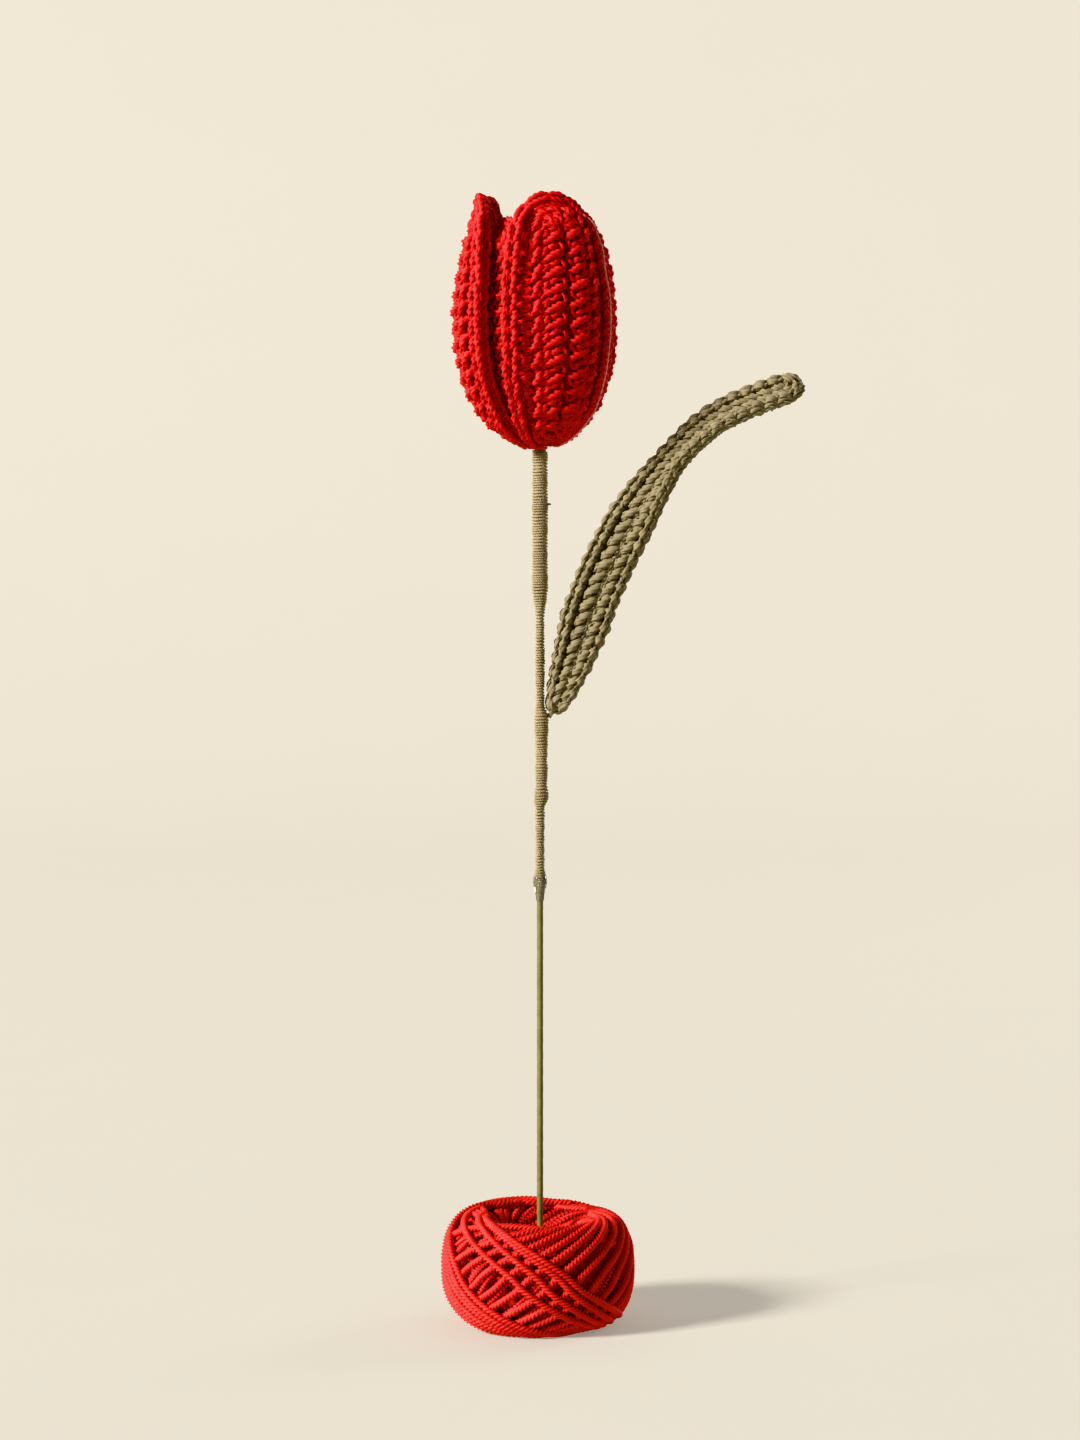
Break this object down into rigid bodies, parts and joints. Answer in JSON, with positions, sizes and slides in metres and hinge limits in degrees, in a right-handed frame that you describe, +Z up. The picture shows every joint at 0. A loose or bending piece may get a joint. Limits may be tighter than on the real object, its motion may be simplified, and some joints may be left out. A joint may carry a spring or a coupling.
{
  "type": "crochet tulip",
  "caption": "Red crochet tulip on a thread-wrapped wire stem with one olive leaf, standing in a ball of red yarn.",
  "frame": {"origin": "on the floor under the stem, at the middle of the yarn ball's underside", "axes": "+Z up along the stem, +X towards the leaf, -Y towards the front petal"},
  "size_m": [0.0898, 0.0491, 0.2831],
  "materials": {
    "red_cotton": "crocheted cotton yarn, matte",
    "ball_cotton": "loose wound cotton yarn, matte",
    "leaf_cotton": "crocheted olive yarn, matte",
    "wrap_thread": "fine wound thread",
    "wire_paper": "paper-covered wire",
    "wire_steel": "plain drawn wire",
    "clear_glue": "clear glue, slightly milky"
  },
  "bodies": {
    "yarn_ball": {"yarn_core": "ball_cotton", "yarn_winding": "ball_cotton"},
    "flower_stem": {"stem_wire": "wire_steel", "wire_cover": "wire_paper", "petal_tails": "red_cotton", "stem_wrap": "wrap_thread", "glue_collar": "clear_glue", "leaf_wire_tail": "wire_steel", "inner_petal_front": "red_cotton", "inner_petal_right": "red_cotton", "inner_petal_back": "red_cotton"},
    "leaf": {"leaf_blade": "leaf_cotton", "leaf_wire": "wire_steel"},
    "front_petal": {"outer_petal_front": "red_cotton"},
    "left_petal": {"outer_petal_left": "red_cotton"},
    "right_petal": {"outer_petal_right": "red_cotton"}
  },
  "joints": [
    {"name": "stem_pull", "type": "slide", "parent": "yarn_ball", "child": "flower_stem", "axis": [0, 0, 1], "range_m": [0, 0.04]},
    {"name": "leaf_bend", "type": "hinge", "parent": "flower_stem", "child": "leaf", "pos_m": [0.0022, 0, 0.1539], "axis": [0, 1, 0], "range_deg": [-5, 50]},
    {"name": "front_petal_open", "type": "hinge", "parent": "flower_stem", "child": "front_petal", "pos_m": [0.00049, -0.0015, 0.2198], "axis": [0.9511, 0.309, 0], "range_deg": [0, 28], "stiffness_Nm_per_rad": 0.02},
    {"name": "left_petal_open", "type": "hinge", "parent": "flower_stem", "child": "left_petal", "pos_m": [-0.00158, -0.00006, 0.2198], "axis": [0.0349, -0.9994, 0], "range_deg": [0, 28], "stiffness_Nm_per_rad": 0.02},
    {"name": "right_petal_open", "type": "hinge", "parent": "flower_stem", "child": "right_petal", "pos_m": [0.00074, 0.00139, 0.2198], "axis": [-0.8829, 0.4695, 0], "range_deg": [0, 28], "stiffness_Nm_per_rad": 0.02}
  ]
}
